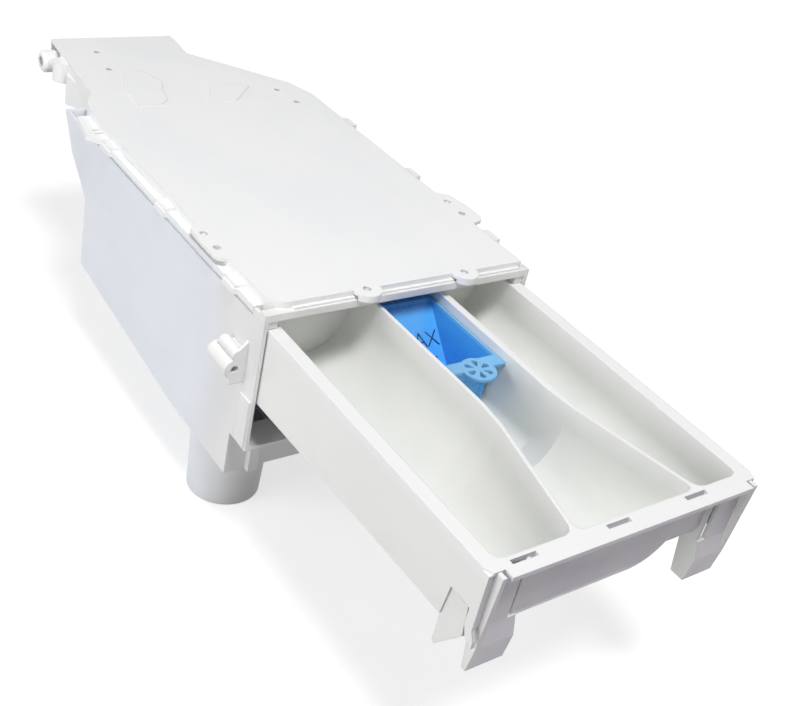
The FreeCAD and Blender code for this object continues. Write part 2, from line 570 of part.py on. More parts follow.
def make_softener_cup():
    body = new_body("softener_cup")
    side = new_sketch(body, "cup_profile", "YZ_Plane", f"{CUP_LEFT} + cup_lip - cup_wall")
    add_outline(side, (("-cup_front - cup_wall", "-cup_top"), ("cup_back + cup_wall", "-cup_top"),
                       ("-ramp_foot + cup_wall", f"-{CUP_FOOT}"),
                       ("-cup_front - cup_wall / 2", f"-{CUP_FOOT}")))
    extrude(body, "Pad", "cup", side, f"{CUP_RIGHT} - {CUP_LEFT} - 2 * cup_lip + 2 * cup_wall")
    base = body.Tip
    faces = list(enumerate(base.Shape.Faces, start=1))
    draft = body.newObject("PartDesign::Draft", "cup_draft_sides")
    draft.Base = (base, [f"Face{number}" for number, face in faces
                         if lies_at(face, "X", f"{CUP_LEFT} + cup_lip - cup_wall")
                         or lies_at(face, "X", f"{CUP_RIGHT} - cup_lip + cup_wall")])
    draft.NeutralPlane = (base, [f"Face{number}" for number, face in faces if lies_at(face, "Z", "-cup_top")])
    draft.Reversed = True
    bind(draft, "Angle", "cup_draft")
    # The first pass finds the faces and the second leans them.
    doc.recompute()
    draft.touch()
    doc.recompute()
    hollow(body, "cup_walls", "cup_wall", lambda face: lies_at(face, "Z", "-cup_top"))
    rim = new_sketch(body, "rim_outline", "XY_Plane", "-cup_top - cup_rim")
    add_rectangle(rim, CUP_LEFT, CUP_RIGHT, "-cup_front - cup_flange", "cup_back + cup_lip")
    add_rectangle(rim, f"{CUP_LEFT} + cup_lip", f"{CUP_RIGHT} - cup_lip", "-cup_front", "cup_back - cup_rim")
    extrude(body, "Pad", "rim", rim, "cup_rim")
    tab = new_sketch(body, "tab_outline", "XY_Plane", "-cup_top - cup_rim")
    add_circle(tab, "tab_x", "-cup_front - cup_flange", "tab_r")
    extrude(body, "Pad", "finger_tab", tab, "cup_rim")
    petal = new_sketch(body, "petal_outline", "XY_Plane", "-cup_top")
    make_petals(petal)
    extrude(body, "Pocket", "petals", petal, "cup_rim")
    return body


def make_petals(sketch):
    """Six drop-shaped holes round the middle of the finger tab."""
    for turn in range(6):
        angle = f"{60 * turn + 15} deg"
        inner = "(petal_ring - petal_long / 2)"
        outer = "(petal_ring + petal_long / 4)"
        far = "(petal_ring + petal_long / 2)"
        corners = []
        for reach_text, side in ((inner, "0"), (outer, "-petal_wide / 2"), (far, "-petal_wide / 4"),
                                 (far, "petal_wide / 4"), (outer, "petal_wide / 2")):
            x = f"tab_x + {reach_text} * cos({angle}) - ({side}) * sin({angle})"
            y = f"-cup_front - cup_flange + {reach_text} * sin({angle}) + ({side}) * cos({angle})"
            corners.append((x, y))
        add_outline(sketch, corners)


# Housing
INSIDE = "(rim_half + side_gap)"
OUTSIDE = "(rim_half + side_gap + shell)"


def make_housing():
    body = new_body("housing")
    profile = new_sketch(body, "side_profile", "YZ_Plane")
    add_outline(profile, (("0", "wall_top"), ("0", "-sill - shell"), ("sump_front", "-sill - shell"),
                          ("sump_front", "-sump_drop"), ("sump_flat", "-sump_drop"),
                          ("heel_back", "-heel_drop"),
                          ("heel_back - shell", "-hood_drop"), ("hood_mid", "-hood_drop / 2"),
                          ("hood_back", "wall_top")))
    extrude(body, "Pad", "box", profile, f"2 * {OUTSIDE}", symmetric=True)
    corner = new_sketch(body, "corner_outline", "XY_Plane", "wall_top")
    add_outline(corner, ((f"{OUTSIDE} - corner_cut", "hood_back"), (OUTSIDE, "hood_back - corner_cut"),
                         (OUTSIDE, "hood_back")))
    extrude(body, "Pocket", "corner_away", corner, "sump_drop + wall_top")
    hollow(body, "walls", "shell", lambda face: lies_at(face, "Z", "wall_top")
           or (lies_at(face, "Y", "0") and face.BoundBox.ZMax > 0))
    add_front_frame(body)
    add_runners(body)
    add_spout(body)
    add_bosses(body)
    return body


def add_front_frame(body):
    """The bar over the opening, its end blocks, the guide blocks over the rim and the cover's ledges."""
    bar = new_sketch(body, "bar_outline", "XY_Plane", "bar_low")
    add_rectangle(bar, f"-{OUTSIDE}", OUTSIDE, "0", "bar_deep")
    extrude(body, "Pad", "bar", bar, "bar_top - bar_low")
    block = new_sketch(body, "block_outline", "XY_Plane", "wall_top - 2 * shell")
    add_rectangle(block, f"-{OUTSIDE}", f"-{INSIDE} + run_gap", "0", "2 * bar_deep")
    parts = [extrude(body, "Pad", "end_block", block, "bar_low - wall_top + 3 * shell")]
    guide = new_sketch(body, "guide_outline", "XY_Plane", "run_gap")
    add_rectangle(guide, f"-{INSIDE} - shell / 2", f"-{INSIDE} + 2 * ledge_wide", "shell / 2", "bar_deep")
    parts.append(extrude(body, "Pad", "guide_block", guide, "bar_top - shell - run_gap"))
    ledge = new_sketch(body, "ledge_outline", "XY_Plane", "ledge_low")
    add_rectangle(ledge, f"-{INSIDE} - shell / 2", f"-{INSIDE} + ledge_wide", "2 * bar_deep",
                  "heel_back - 2 * shell")
    parts.append(extrude(body, "Pad", "ledge", ledge, "ledge_top - ledge_low"))
    stud = new_sketch(body, "side_stud_outline", "XY_Plane", "ledge_top - run_gap")
    add_circle(stud, "-ear_x", "ear_y", "stud_r")
    parts.append(extrude(body, "Pad", "side_stud", stud, "stud_top - ledge_top + run_gap"))
    mirror(body, "frame_right", parts)
    studs = new_sketch(body, "front_stud_outline", "XY_Plane", "bar_top - run_gap")
    add_circle(studs, "lobe_left", "lobe_y", "stud_r")
    add_circle(studs, "lobe_right", "lobe_y", "stud_r")
    extrude(body, "Pad", "front_studs", studs, "stud_top - bar_top + run_gap")


def add_runners(body):
    """The runners on which the drawer's skirts slide."""
    runner = new_sketch(body, "runner_outline", "XY_Plane", "-skirt_depth - run_gap - runner_thick")
    add_rectangle(runner, f"-{INSIDE} - shell / 2", "-rim_half + 1.5 * wall", "runner_front",
                  "heel_back - 2 * shell")
    mirror(body, "runner_right", [extrude(body, "Pad", "runner", runner, "runner_thick")])


def add_spout(body):
    """The tapered outlet under the floor, open through it."""
    root = new_sketch(body, "spout_root", "XY_Plane", "-sump_drop + shell / 2")
    add_circle(root, "spout_x", "spout_y", "spout_r + spout_taper")
    end = new_sketch(body, "spout_end", "XY_Plane", "-spout_drop")
    add_circle(end, "spout_x", "spout_y", "spout_r")
    loft(body, "AdditiveLoft", "spout", (root, end))
    bore = new_sketch(body, "spout_bore_outline", "XY_Plane", "-spout_drop")
    add_circle(bore, "spout_x", "spout_y", "spout_r - spout_wall")
    extrude(body, "Pocket", "spout_bore", bore, "spout_drop - sump_drop + 4 * shell", backwards=True)


def add_bosses(body):
    """The screw bosses on the side walls with their ribs and gussets, and the strips at the front edges."""
    axis_x = f"(-{OUTSIDE} - boss_out)"
    boss = new_sketch(body, "boss_outline", "XZ_Plane", "-boss_front")
    add_circle(boss, axis_x, "-boss_drop", "boss_r")
    parts = [extrude(body, "Pad", "boss", boss, "boss_long", backwards=True)]
    web = new_sketch(body, "boss_web_outline", "XZ_Plane", "-boss_front")
    add_rectangle(web, axis_x, f"-{OUTSIDE} + shell / 2", "-boss_drop - boss_r / 2", "-boss_drop + boss_r")
    parts.append(extrude(body, "Pad", "boss_web", web, "boss_long", backwards=True))
    rib = new_sketch(body, "boss_rib_outline", "XZ_Plane", "-boss_front")
    add_circle(rib, f"{axis_x} + rib_r / 2", "-boss_drop + rib_up", "rib_r")
    parts.append(extrude(body, "Pad", "boss_rib", rib, "rib_long", backwards=True))
    neck = new_sketch(body, "boss_neck_outline", "XZ_Plane", "-boss_front")
    add_rectangle(neck, f"{axis_x} + rib_r / 2", f"-{OUTSIDE} + shell / 2", "-boss_drop + boss_r / 2",
                  "-boss_drop + rib_up + rib_r / 2")
    parts.append(extrude(body, "Pad", "boss_neck", neck, "rib_long - shell", backwards=True))
    face = new_sketch(body, "boss_face_outline", "XZ_Plane", "-boss_front")
    add_outline(face, ((f"{axis_x} + rib_r / 2", "-boss_drop + rib_up + rib_r"),
                       (f"-{OUTSIDE}", "-boss_drop + face_up"),
                       (f"-{OUTSIDE} + shell / 2", "-boss_drop + face_up"),
                       (f"-{OUTSIDE} + shell / 2", "-boss_drop - face_low"),
                       (f"{axis_x} - boss_r / 3", "-boss_drop - face_low"),
                       (f"{axis_x} - boss_r / 3", "-boss_drop")))
    parts.append(extrude(body, "Pad", "boss_face", face, "shell", backwards=True))
    strip = new_sketch(body, "strip_outline", "YZ_Plane", f"-{OUTSIDE} - strip_out")
    add_rectangle(strip, "shell / 2", "shell / 2 + strip_wide", "-strip_low", "-strip_high")
    parts.append(extrude(body, "Pad", "strip", strip, "strip_out + shell / 2"))
    mirror(body, "boss_right", parts)
    rib = new_sketch(body, "heel_rib_outline", "XZ_Plane", "-sump_front + heel_rib_out")
    add_rectangle(rib, f"-{OUTSIDE} + heel_rib_in", f"-{OUTSIDE} + heel_rib_in + heel_rib_wide", "-sump_drop",
                  "-sill - shell / 2")
    extrude(body, "Pad", "heel_rib", rib, "heel_rib_out + shell / 2", backwards=True)
    bore = new_sketch(body, "boss_bore_outline", "XZ_Plane", "-boss_front")
    add_circle(bore, axis_x, "-boss_drop", "boss_bore")
    hole = extrude(body, "Pocket", "boss_bore_left", bore, "bore_deep")
    mirror(body, "boss_bore_right", [hole])


# Top cover
COVER_LOW = "ledge_top"


def cover_outline():
    """The raised top seen from above, from its left front corner round to the left hip."""
    return (("-cover_half", "cover_front"), ("cover_half", "cover_front"), ("cover_half", "cover_hip_right"),
            ("shoulder_x", "shoulder_y"), ("notch_x", "notch_y"), ("tail_right", "tail_back - inlet_back"),
            ("tail_right", "tail_back"), ("tail_left", "tail_back"), ("tail_waist", "shoulder_y"),
            ("hip_x", "hip_y"), ("-cover_half", "cover_hip"))


def make_top_cover():
    body = new_body("top_cover")
    outline = new_sketch(body, "top_outline", "XY_Plane", COVER_LOW)
    add_outline(outline, cover_outline())
    extrude(body, "Pad", "raised_top", outline, f"cover_top - {COVER_LOW}")
    round_edges(body, "front_corner", "cover_round",
                lambda edge: lies_at(edge, "X", "-cover_half") and lies_at(edge, "Y", "cover_front"))
    hollow(body, "walls", "cover_wall", lambda face: lies_at(face, "Z", COVER_LOW))
    front = new_sketch(body, "front_relief_outline", "XY_Plane", "bar_top")
    add_rectangle(front, f"-{OUTSIDE}", OUTSIDE, "-run_gap", "bar_deep + run_gap")
    extrude(body, "Pocket", "front_relief", front, f"bar_top - {COVER_LOW}")
    step = new_sketch(body, "step_outline", "XY_Plane", "bar_top")
    add_rectangle(step, "-cover_half + cover_round", "cover_half - cover_wall", "cover_front - cover_wall",
                  "cover_front + cover_wall")
    extrude(body, "Pad", "front_step", step, "plate / 2")
    add_tail_fittings(body)
    add_back_panels(body)
    combine(body, "Fuse", "fittings", [make_front_ears(), make_flanges(), make_channel()])
    add_ears(body)
    return body


def make_front_ears():
    """The two round ears at the front edge: a plate each, with a half-round skirt ahead of the front bar."""
    body = new_body("front_ears_tool")
    under = "(cover_top - cover_wall)"
    bridge = new_sketch(body, "bridge_outline", "XY_Plane", under)
    add_rectangle(bridge, "lobe_left", "lobe_right", "cover_front", "cover_front + 2 * cover_wall")
    extrude(body, "Pad", "bridge", bridge, "cover_wall")
    for name, radius, kind in (("ears", "lobe_r", "Pad"), ("ear_rooms", "lobe_r - cover_wall", "Pocket")):
        rounds = new_sketch(body, name + "_outline", "XY_Plane", "bar_top")
        for place in ("lobe_left", "lobe_right"):
            add_circle(rounds, place, "lobe_y", radius)
        length = "cover_top - bar_top" if kind == "Pad" else f"{under} - bar_top"
        extrude(body, kind, name, rounds, length, backwards=kind == "Pocket")
    back = new_sketch(body, "skirt_cut_outline", "XY_Plane", under)
    add_rectangle(back, "lobe_left - 2 * lobe_r", "lobe_right + 2 * lobe_r", "-run_gap",
                  "lobe_y + 2 * lobe_r")
    extrude(body, "Pocket", "skirt_cut", back, f"{under} - bar_top")
    return body


def make_flanges():
    """The side flanges that rest on the housing's ledges, with their clips, beads and the latch."""
    body = new_body("flanges_tool")
    bridge = new_sketch(body, "flange_bridge_outline", "XY_Plane", "cover_top - cover_wall")
    add_rectangle(bridge, "-cover_half + cover_wall / 4", "cover_half - cover_wall / 4", "clip_mid",
                  "clip_mid + cover_wall")
    extrude(body, "Pad", "flange_bridge", bridge, "cover_wall / 2")
    stile = new_sketch(body, "flange_stile_outline", "XY_Plane", COVER_LOW)
    add_rectangle(stile, "-cover_half + cover_wall / 4", "-cover_half + cover_wall / 2", "clip_mid",
                  "clip_mid + cover_wall")
    stiles = [extrude(body, "Pad", "flange_stile", stile, f"cover_top - cover_wall - {COVER_LOW}")]
    flange = new_sketch(body, "flange_outline", "XY_Plane", COVER_LOW)
    add_rectangle(flange, f"-{OUTSIDE}", "-cover_half + cover_wall / 2", "2 * bar_deep + run_gap",
                  "cover_hip")
    parts = stiles + [extrude(body, "Pad", "flange", flange, "flange_thick")]
    for name in ("clip_front", "clip_mid", "clip_back"):
        lug = new_sketch(body, name + "_lug", "XY_Plane", COVER_LOW)
        add_outline(lug, ((f"-{OUTSIDE} - clip_out", f"{name} - clip_wide / 3"),
                          ("-cover_half", f"{name} - clip_wide / 2"),
                          ("-cover_half", f"{name} + clip_wide / 2"),
                          (f"-{OUTSIDE} - clip_out", f"{name} + clip_wide / 3")))
        parts.append(extrude(body, "Pad", name + "_plate", lug, "flange_thick"))
        slits = new_sketch(body, name + "_slit_outline", "XY_Plane", f"{COVER_LOW} + flange_thick")
        outer = f"-{OUTSIDE} - clip_out / 4"
        for place in (f"{name} - clip_wide / 3", f"{name} + clip_wide / 4"):
            add_rectangle(slits, outer, f"{outer} + slit_long / 2", place, f"{place} + slit_wide")
        parts.append(extrude(body, "Pocket", name + "_slits", slits, "flange_thick"))
    bead = new_sketch(body, "bead_profile", "XZ_Plane", "-bead_front")
    left, right = f"(-{OUTSIDE} - run_gap)", f"(-{OUTSIDE} - run_gap + bead_wide)"
    add_outline(bead, ((left, COVER_LOW), (right, COVER_LOW), (right, f"{COVER_LOW} + bead_high / 2"),
                       (f"{right} - bead_wide / 7", f"{COVER_LOW} + 0.8 * bead_high"),
                       (f"{right} - bead_wide / 3", f"{COVER_LOW} + bead_high"),
                       (f"{left} + bead_wide / 3", f"{COVER_LOW} + bead_high"),
                       (f"{left} + bead_wide / 7", f"{COVER_LOW} + 0.8 * bead_high"),
                       (left, f"{COVER_LOW} + bead_high / 2")))
    parts.append(extrude(body, "Pad", "bead", bead, "bead_back - bead_front", backwards=True))
    mirror(body, "flange_right", parts)
    for name, top, low, high in (("left_hooks", "hook_low", "-cover_half - hook_out",
                                  "-cover_half + cover_wall / 2"),
                                 ("right_hooks", "hook_high", "cover_half - cover_wall / 2",
                                  "cover_half + hook_out")):
        hooks = new_sketch(body, name + "_outline", "XY_Plane", COVER_LOW)
        for place in ("clip_front", "clip_mid", "clip_back"):
            add_rectangle(hooks, low, high, f"{place} - hook_long / 2", f"{place} + hook_long / 2")
        extrude(body, "Pad", name, hooks, f"{top} - {COVER_LOW}")
    latch = new_sketch(body, "latch_outline", "XY_Plane", COVER_LOW)
    add_outline(latch, (("-cover_half + cover_wall", "latch_front - cover_wall"),
                        (f"-{OUTSIDE}", "latch_front - cover_wall"),
                        (f"-{OUTSIDE} - latch_out", "latch_front + latch_out"),
                        (f"-{OUTSIDE} - cover_wall", "latch_back"),
                        ("hip_x + cover_wall", "latch_back")))
    extrude(body, "Pad", "latch_plate", latch, "flange_thick + run_gap")
    slits = new_sketch(body, "latch_slit_outline", "XY_Plane", f"{COVER_LOW} + flange_thick + run_gap")
    for place in ("latch_front + latch_out", "latch_front + latch_out + 3 * slit_wide"):
        add_rectangle(slits, f"-{OUTSIDE} + shell - slit_long / 2", f"-{OUTSIDE} + shell + slit_long / 2",
                      place,
                      f"{place} + slit_wide")
    extrude(body, "Pocket", "latch_slits", slits, "flange_thick + run_gap")
    return body


def add_ears(body):
    """An ear on each side, and the holes of all four ears."""
    for name, side, out in (("ear_left", "-", "ear_out"), ("ear_right", "", "ear_out_right")):
        ear = new_sketch(body, name + "_outline", "XY_Plane", "cover_top - plate")
        outer, inner = f"({OUTSIDE} + {out})", "(cover_half - cover_wall)"
        corners = [(f"{side}({outer} - {out} / 2)", "ear_y + ear_r"), (f"{side}{outer}", "ear_y - ear_r"),
                   (f"{side}{outer}", "ear_y - ear_pitch - ear_r"),
                   (f"{side}({outer} - 0.4 * ear_r)", "ear_y - ear_pitch - 1.6 * ear_r"),
                   (f"{side}{inner}", "ear_y - ear_pitch - 2 * ear_r"),
                   (f"{side}{inner}", "ear_y + 2 * ear_r")]
        add_outline(ear, corners)
        extrude(body, "Pad", name, ear, "plate")
    holes = new_sketch(body, "ear_holes", "XY_Plane", "cover_top")
    for place in ("lobe_left", "lobe_right"):
        add_circle(holes, place, "lobe_y", "ear_hole")
    for side in ("-ear_x", "ear_x"):
        add_circle(holes, side, "ear_y", "ear_hole")
        add_circle(holes, side, "ear_y - ear_pitch", "ear_hole")
    extrude(body, "Pocket", "ear_hole_cuts", holes, f"cover_top - {COVER_LOW}")
    pins = new_sketch(body, "pin_outline", "XY_Plane", "cover_top")
    for x, y in (("tail_left + pin_in", "tail_back - pin_back"),
                 ("tail_left + pin_in - pin_shift", "tail_back - pin_back - pin_pitch"),
                 ("shoulder_x - pin_in_right", "shoulder_y - pin_ahead"),
                 ("shoulder_x - pin_in_right + pin_shift", "shoulder_y - pin_ahead - 0.7 * pin_pitch")):
        add_circle(pins, x, y, "pin_r")
    extrude(body, "Pocket", "pin_holes", pins, "cover_wall")


def make_channel():
    """The water channel under the tail and the inlet at its side."""
    body = new_body("channel_tool")
    low, high = f"({COVER_LOW} - tail_deep)", "(cover_top - cover_wall / 2)"
    front, back = "(hood_back + 2 * shell)", "(tail_back - cover_wall / 2)"
    axis_y = "(tail_back - inlet_back)"
    wall = new_sketch(body, "channel_outline", "XY_Plane", low)
    add_outline(wall, (("tail_in", front), ("notch_x - cover_wall / 2", front),
                       ("notch_x - cover_wall / 2", "notch_y"),
                       ("tail_right - cover_wall / 2", axis_y), ("tail_right - cover_wall / 2", back),
                       ("tail_in", back)))
    extrude(body, "Pad", "channel", wall, f"{high} - {low}")
    room = new_sketch(body, "channel_room_outline", "XY_Plane", f"{low} + cover_wall")
    add_rectangle(room, "tail_in + cover_wall", "notch_x - 1.5 * cover_wall", f"{front} + cover_wall",
                  f"{back} - cover_wall")
    extrude(body, "Pocket", "channel_room", room, f"cover_top - 2 * cover_wall - {low}", backwards=True)
    collar = new_sketch(body, "collar_outline", "YZ_Plane", "tail_in + cover_wall / 2")
    add_circle(collar, axis_y, "inlet_up", "inlet_r + collar_wide")
    extrude(body, "Pad", "inlet_collar", collar, "collar_long + cover_wall / 2", backwards=True)
    inlet = new_sketch(body, "inlet_outline", "YZ_Plane", "tail_in + cover_wall / 2")
    add_circle(inlet, axis_y, "inlet_up", "inlet_r")
    extrude(body, "Pad", "inlet", inlet, "inlet_long + cover_wall / 2", backwards=True)
    round_edges(body, "inlet_end", "inlet_round", lambda edge: lies_at(edge, "X", "tail_in - inlet_long"))
    bore = new_sketch(body, "inlet_bore_outline", "YZ_Plane", "tail_in - inlet_long")
    add_circle(bore, axis_y, "inlet_up", "inlet_bore")
    extrude(body, "Pocket", "inlet_bore_cut", bore, "inlet_long + 1.5 * cover_wall", backwards=True)
    return body


def add_tail_fittings(body):
    """The opening in the tail's skirt for the inlet, and the flap and knuckle on that skirt."""
    notch = new_sketch(body, "inlet_notch_outline", "XY_Plane", "cover_top - cover_wall")
    add_rectangle(notch, "tail_left - 2 * cover_wall", "tail_in - cover_wall",
                  "tail_back - inlet_back - inlet_r - 2 * cover_wall",
                  "tail_back - cover_wall")
    extrude(body, "Pocket", "inlet_notch", notch, f"cover_top - cover_wall - {COVER_LOW}")
    edge_x = "(tail_waist + (tail_left - tail_waist) * (flap_back - shoulder_y) / (tail_back - shoulder_y))"
    flap = new_sketch(body, "flap_outline", "YZ_Plane", f"{edge_x} - cover_wall")
    add_outline(flap, (("flap_back", f"{COVER_LOW} + cover_wall"), ("flap_back", "-flap_drop"),
                       ("flap_front + cover_wall", "-flap_drop + flap_rise"),
                       ("flap_front", f"{COVER_LOW} + cover_wall")))
    extrude(body, "Pad", "flap", flap, "1.5 * cover_wall")
    knuckle = new_sketch(body, "knuckle_outline", "XY_Plane", "-knuckle_low")
    add_circle(knuckle, edge_x, "knuckle_y", "knuckle_r")
    extrude(body, "Pad", "knuckle", knuckle, "knuckle_low + cover_top - plate")


def add_back_panels(body):
    """The two low panels on the back part of the raised top."""
    panels = new_sketch(body, "panel_outline", "XY_Plane", "cover_top")
    left, front = "(tail_waist + panel_in)", "(cover_hip + panel_front)"
    add_outline(panels, ((left, front), (f"{left} + panel_wide", front),
                         (f"{left} + 1.4 * panel_wide", f"{front} + 0.4 * panel_wide"),
                         (f"{left} + 1.6 * panel_wide", f"{front} + 0.4 * panel_long"),
                         (f"{left} + panel_wide + 1.2 * panel_lean", f"{front} + 0.6 * panel_long"),
                         (f"{left} + 2 * panel_lean", f"{front} + 0.95 * panel_long"),
                         (f"{left} + panel_lean", f"{front} + panel_long"),
                         (f"{left} + panel_lean / 5", f"{front} + panel_long / 2")))
    left, front = "(notch_x - patch_in)", "(cover_hip + patch_front)"
    add_outline(panels, ((left, front), (f"{left} + patch_wide", front),
                         (f"{left} + 2 * patch_wide", f"{front} + 0.67 * patch_long"),
                         (f"{left} + 0.8 * patch_wide", f"{front} + patch_long")))
    extrude(body, "Pad", "panels", panels, "panel_high")


# Shower tray
def make_shower_tray():
    body = new_body("shower_tray")
    half = "(cover_half - cover_wall - tray_gap)"
    outline = new_sketch(body, "tray_outline", "XY_Plane", "tray_low")
    add_rectangle(outline, f"-{half}", half, "tray_front", "tray_back")
    extrude(body, "Pad", "tray", outline, "cover_top - plate - tray_low")
    round_edges(body, "front_corner", "cover_round",
                lambda edge: lies_at(edge, "X", f"-{half}") and lies_at(edge, "Y", "tray_front"))
    hollow(body, "walls", "tray_wall", lambda face: lies_at(face, "Z", "cover_top - plate"))
    row = new_sketch(body, "jet_outline", "XY_Plane", "tray_low")
    for step in (-2, -1, 0, 1, 2):
        add_outline(row, [(f"{step} * jet_pitch_x + jet_r * cos({turn} deg)",
                           f"jet_first + jet_r * sin({turn} deg)")
                          for turn in range(0, 360, 60)])
    jets = extrude(body, "Pocket", "jet_row", row, "tray_wall", backwards=True)
    rows = body.newObject("PartDesign::LinearPattern", "jet_rows")
    rows.Originals = [jets]
    rows.Direction = (plane_of(body, "Y_Axis"), [""])
    rows.Occurrences = 6
    rows.Mode = "Spacing"
    bind(rows, "Offset", "jet_pitch_y")
    body.Tip = rows
    doc.recompute()
    return body


def main():
    bodies = [make_housing(), make_top_cover(), make_shower_tray(), make_drawer(), make_softener_cup()]
    doc.recompute()
    faults = [thing.Label for thing in doc.Objects if {"Invalid", "Error"} & set(thing.State)]
    for body in bodies:
        shape = body.Shape
        if shape.isNull() or not shape.isValid() or len(shape.Solids) != 1:
            faults.append(f"{body.Label}: {len(shape.Solids)} solids")
    if faults:
        raise RuntimeError("not built: " + ", ".join(faults))
    os.makedirs("parts", exist_ok=True)
    datum = Vector(0, size("boss_front"), -size("boss_drop"))
    for body in bodies:
        placed = body.Shape.translated(-datum)
        placed.exportStep(f"parts/{body.Label}.step")
        print(body.Label, round(placed.Volume / 1000, 1), "cm3", placed.BoundBox)


main()
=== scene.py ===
"""Looks of a washing machine's detergent dispenser: plastics, a fill mark and a studio stage."""

import bmesh
import bpy
from mathutils import Matrix, Vector


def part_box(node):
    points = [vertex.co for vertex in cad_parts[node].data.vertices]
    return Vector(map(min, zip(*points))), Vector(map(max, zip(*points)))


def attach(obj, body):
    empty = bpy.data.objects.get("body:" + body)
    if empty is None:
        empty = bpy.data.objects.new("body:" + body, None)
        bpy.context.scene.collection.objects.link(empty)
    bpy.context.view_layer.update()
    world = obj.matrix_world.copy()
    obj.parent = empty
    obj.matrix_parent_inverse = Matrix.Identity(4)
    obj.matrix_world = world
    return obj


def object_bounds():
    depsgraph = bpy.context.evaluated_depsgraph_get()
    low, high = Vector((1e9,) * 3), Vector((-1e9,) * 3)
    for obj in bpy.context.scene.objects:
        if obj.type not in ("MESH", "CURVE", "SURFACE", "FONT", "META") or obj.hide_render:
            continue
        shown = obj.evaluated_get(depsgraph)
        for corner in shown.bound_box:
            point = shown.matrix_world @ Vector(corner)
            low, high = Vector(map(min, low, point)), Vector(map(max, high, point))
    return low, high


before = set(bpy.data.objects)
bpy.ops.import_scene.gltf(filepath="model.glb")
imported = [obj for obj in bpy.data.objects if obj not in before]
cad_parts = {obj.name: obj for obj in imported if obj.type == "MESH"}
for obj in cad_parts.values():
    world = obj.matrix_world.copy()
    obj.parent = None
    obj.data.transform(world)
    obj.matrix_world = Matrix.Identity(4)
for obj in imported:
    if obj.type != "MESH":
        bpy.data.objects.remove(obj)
CAD_BOX = [list(corner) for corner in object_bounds()]

bl_info = {
    "name": "Detergent dispenser looks",
    "version": (1, 0, 0),
    "blender": (4, 5, 0),
    "location": "3D View > Sidebar > Dispenser",
    "description": "Dresses the packed dispenser and sets its studio stage",
    "category": "Object",
}

MM = 0.001

# The photograph's camera, in the part's frame.
CAMERA_PLACE = (-0.3883, -0.4532, 0.3735)
CAMERA_RIGHT = (0.8090, -0.5544, 0.1955)
CAMERA_UP = (0.1750, 0.5445, 0.8203)
CAMERA_LENS = 52.96

# Lamps: where each one stands, what it looks at and its width, in metres.
KEY_PLACE, KEY_AIM, KEY_SIZE = (-0.24, -0.70, 1.9), (0.0, 0.05, 0.0), 0.6
SIDE_PLACE, SIDE_AIM, SIDE_SIZE = (-1.5, 0.1, 0.5), (0.0, 0.0, 0.0), 1.2
LOW_PLACE, LOW_AIM, LOW_SIZE = (0.35, -1.5, -0.02), (0.0, 0.0, -0.06), 0.2

# Heights above which the tops take painted light, how far the housing's mouth reaches back, and how far
# back from the drawer's front its front faces take painted shade.
HOUSING_EDGE_LIGHT_SPAN = (0.034, 0.037)
DRAWER_RIM_LIGHT_SPAN = (0.022, 0.0305)
CUP_RIM_LIGHT_SPAN = (0.0232, 0.0238)
MOUTH_REACH = (0.075, 0.02)
FRONT_SHADE_REACH = (0.035, 0.025)

# Fineness of the patterns, and how far the streaks are drawn out along the part.
STREAK_SCALE = 90.0
STREAK_STRETCH = (1.0, 0.22, 1.0)
MOUTH_CLOUD_SCALE = 18.0
FRONT_SHADE_CLOUD_SCALE = 28.0
FLOOR_FLECK_SCALE = 40.0
GRAIN_HEIGHT = 0.0002

# The floor's own white: the distances between which it rises, and its strength near and far.
GLOW_RADII = (0.5, 2.5)
GLOW_STRENGTH = (0.65, 1.0)


def colour_value(name, description, default):
    """A colour property with three channels."""
    return bpy.props.FloatVectorProperty(name=name, description=description, default=default,
                                         subtype="COLOR", size=3, min=0.0, max=1.0)


class PlasticLook(bpy.types.PropertyGroup):
    """Values shared by the moulded plastics."""
    edge_radius: bpy.props.FloatProperty(
        name="Edge radius", description="Rounding of every moulded edge in the light",
        default=0.0007, unit="LENGTH")
    grain_scale: bpy.props.FloatProperty(
        name="Grain scale", description="Fineness of the moulded grain", default=2600.0)
    cloud_scale: bpy.props.FloatProperty(
        name="Cloud scale", description="Fineness of the cloudy colour", default=14.0)


